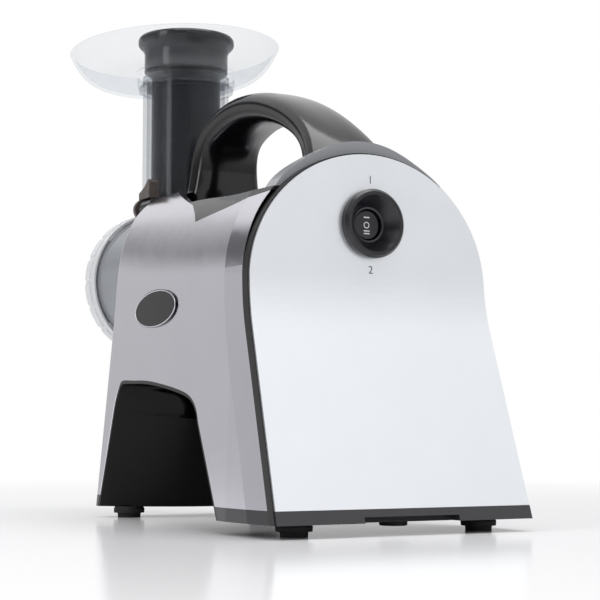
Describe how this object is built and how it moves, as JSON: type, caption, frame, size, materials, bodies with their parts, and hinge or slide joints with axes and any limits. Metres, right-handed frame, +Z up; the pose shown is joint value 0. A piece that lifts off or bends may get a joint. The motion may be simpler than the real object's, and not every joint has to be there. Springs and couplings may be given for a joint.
{
  "type": "cold press juicer",
  "caption": "Horizontal slow juicer with a chromed arch body, sloped silver rear panel, black carry handle, clear drum with feed chute, oval hopper tray, pusher and adjustable nozzle.",
  "frame": {"origin": "centre of the bounding box in plan, at floor level", "axes": "+Z up, +Y towards the rear panel with the switch, -Y towards the drum and nozzle, +X to the side seen in the picture"},
  "size_m": [0.1774, 0.4109, 0.348],
  "materials": {
    "chrome_shell": "bright chrome plating",
    "black_gloss": "polished black",
    "black_liner": "polished black",
    "band_gloss": "gloss dark grey",
    "foot_rubber": "matt",
    "screw_steel": "plain",
    "gland_rubber": "matt",
    "board_green": "coated board",
    "silver_panel": "satin silver",
    "gasket_black": "satin",
    "crown_grey": "gloss grey",
    "handle_black": "polished black",
    "grip_black": "satin black",
    "bezel_black": "satin black",
    "switch_plastic": "moulded",
    "rocker_black": "satin black with white marks",
    "badge_black": "gloss black with bright rim",
    "motor_steel": "ground",
    "fan_plastic": "moulded",
    "lamination_steel": "stacked sheet",
    "winding_copper": "enamelled copper",
    "cast_alloy": "die cast",
    "gear_plastic": "natural nylon",
    "shaft_steel": "ground",
    "case_plastic": "glass filled",
    "bearing_steel": "polished",
    "seal_rubber": "silicone",
    "capacitor_grey": "drawn can",
    "strap_steel": "zinc plated",
    "socket_grey": "gloss dark grey",
    "clip_brown": "brown grey gloss",
    "clear_drum": "clear moulded plastic",
    "screen_steel": "etched sheet",
    "auger_dark": "moulded dark plastic",
    "ring_clear": "frosted clear plastic",
    "dial_black": "satin black",
    "clear_tray": "clear moulded plastic",
    "pusher_black": "polished black"
  },
  "bodies": {
    "housing": {"body_shell": "chrome_shell", "top_cover": "black_gloss", "arch_liner": "black_liner", "base_front": "band_gloss", "base_rear": "band_gloss", "foot": "foot_rubber", "foot_screw": "screw_steel", "cord_gland": "gland_rubber", "control_board": "board_green", "rear_panel": "silver_panel", "rear_gasket": "gasket_black", "rear_sill": "band_gloss", "crown_trim": "crown_grey", "handle_top": "handle_black", "handle_grip": "grip_black", "handle_screw": "screw_steel", "switch_bezel": "bezel_black", "switch_body": "switch_plastic", "side_badge": "badge_black", "stator_core": "lamination_steel", "stator_winding": "winding_copper", "motor_end_bell": "cast_alloy", "motor_adapter": "cast_alloy", "cluster_pin": "shaft_steel", "gearbox_case": "case_plastic", "gearbox_cover": "case_plastic", "gearbox_bolt": "screw_steel", "bearing": "bearing_steel", "shaft_seal": "seal_rubber", "run_capacitor": "capacitor_grey", "capacitor_strap": "strap_steel", "drum_socket": "socket_grey", "clip_screw": "screw_steel"},
    "drum_unit": {"drum": "clear_drum", "drum_chute": "clear_drum", "juice_spout": "clear_drum", "drum_seal": "seal_rubber", "juicing_screen": "screen_steel"},
    "auger": {"auger": "auger_dark", "auger_drive": "shaft_steel"},
    "end_ring": {"end_ring": "ring_clear", "nozzle_seal": "seal_rubber"},
    "nozzle_dial": {"nozzle_dial": "dial_black"},
    "hopper_tray": {"hopper_tray": "clear_tray"},
    "pusher": {"pusher": "pusher_black"},
    "rocker": {"rocker": "rocker_black"},
    "lock_clip": {"lock_clip": "clip_brown"},
    "rotor": {"motor_rotor": "motor_steel", "cooling_fan": "fan_plastic"},
    "cluster": {"cluster_gear": "gear_plastic"},
    "output": {"output_wheel": "gear_plastic", "output_shaft": "shaft_steel"}
  },
  "joints": [
    {"name": "rotor_spin", "type": "hinge", "parent": "housing", "child": "rotor", "pos_m": [0, 0.09, 0.132], "axis": [0, 1, 0], "continuous": true},
    {"name": "cluster_spin", "type": "hinge", "parent": "housing", "child": "cluster", "pos_m": [0.02907, 0.01, 0.14631], "axis": [0, 1, 0], "continuous": true},
    {"name": "output_spin", "type": "hinge", "parent": "housing", "child": "output", "pos_m": [0, 0, 0.17], "axis": [0, 1, 0], "continuous": true},
    {"name": "drum_pull", "type": "slide", "parent": "housing", "child": "drum_unit", "axis": [0, -1, 0], "range_m": [0, 0.12]},
    {"name": "auger_spin", "type": "hinge", "parent": "drum_unit", "child": "auger", "pos_m": [0, -0.1, 0.17], "axis": [0, 1, 0], "continuous": true},
    {"name": "end_ring_turn", "type": "hinge", "parent": "drum_unit", "child": "end_ring", "pos_m": [0, -0.145, 0.17], "axis": [0, 1, 0], "range_deg": [0, 45]},
    {"name": "nozzle_dial_turn", "type": "hinge", "parent": "end_ring", "child": "nozzle_dial", "pos_m": [0, -0.16, 0.17], "axis": [0, 1, 0], "range_deg": [-120, 0]},
    {"name": "tray_lift", "type": "slide", "parent": "drum_unit", "child": "hopper_tray", "axis": [0, 0, 1], "range_m": [0, 0.05]},
    {"name": "pusher_lift", "type": "slide", "parent": "hopper_tray", "child": "pusher", "axis": [0, 0, 1], "range_m": [0, 0.13]},
    {"name": "rocker_tilt", "type": "hinge", "parent": "housing", "child": "rocker", "pos_m": [0, 0.1545, 0.181], "axis": [1, 0, 0], "range_deg": [-12, 12]},
    {"name": "lock_clip_turn", "type": "hinge", "parent": "housing", "child": "lock_clip", "pos_m": [0.03841, -0.077, 0.2161], "axis": [0, 1, 0], "range_deg": [0, 70]}
  ],
  "couplings": [
    {"joint": "cluster_spin", "follows": "rotor_spin", "ratio": -0.2},
    {"joint": "output_spin", "follows": "rotor_spin", "ratio": 0.05},
    {"joint": "auger_spin", "follows": "rotor_spin", "ratio": 0.05}
  ]
}
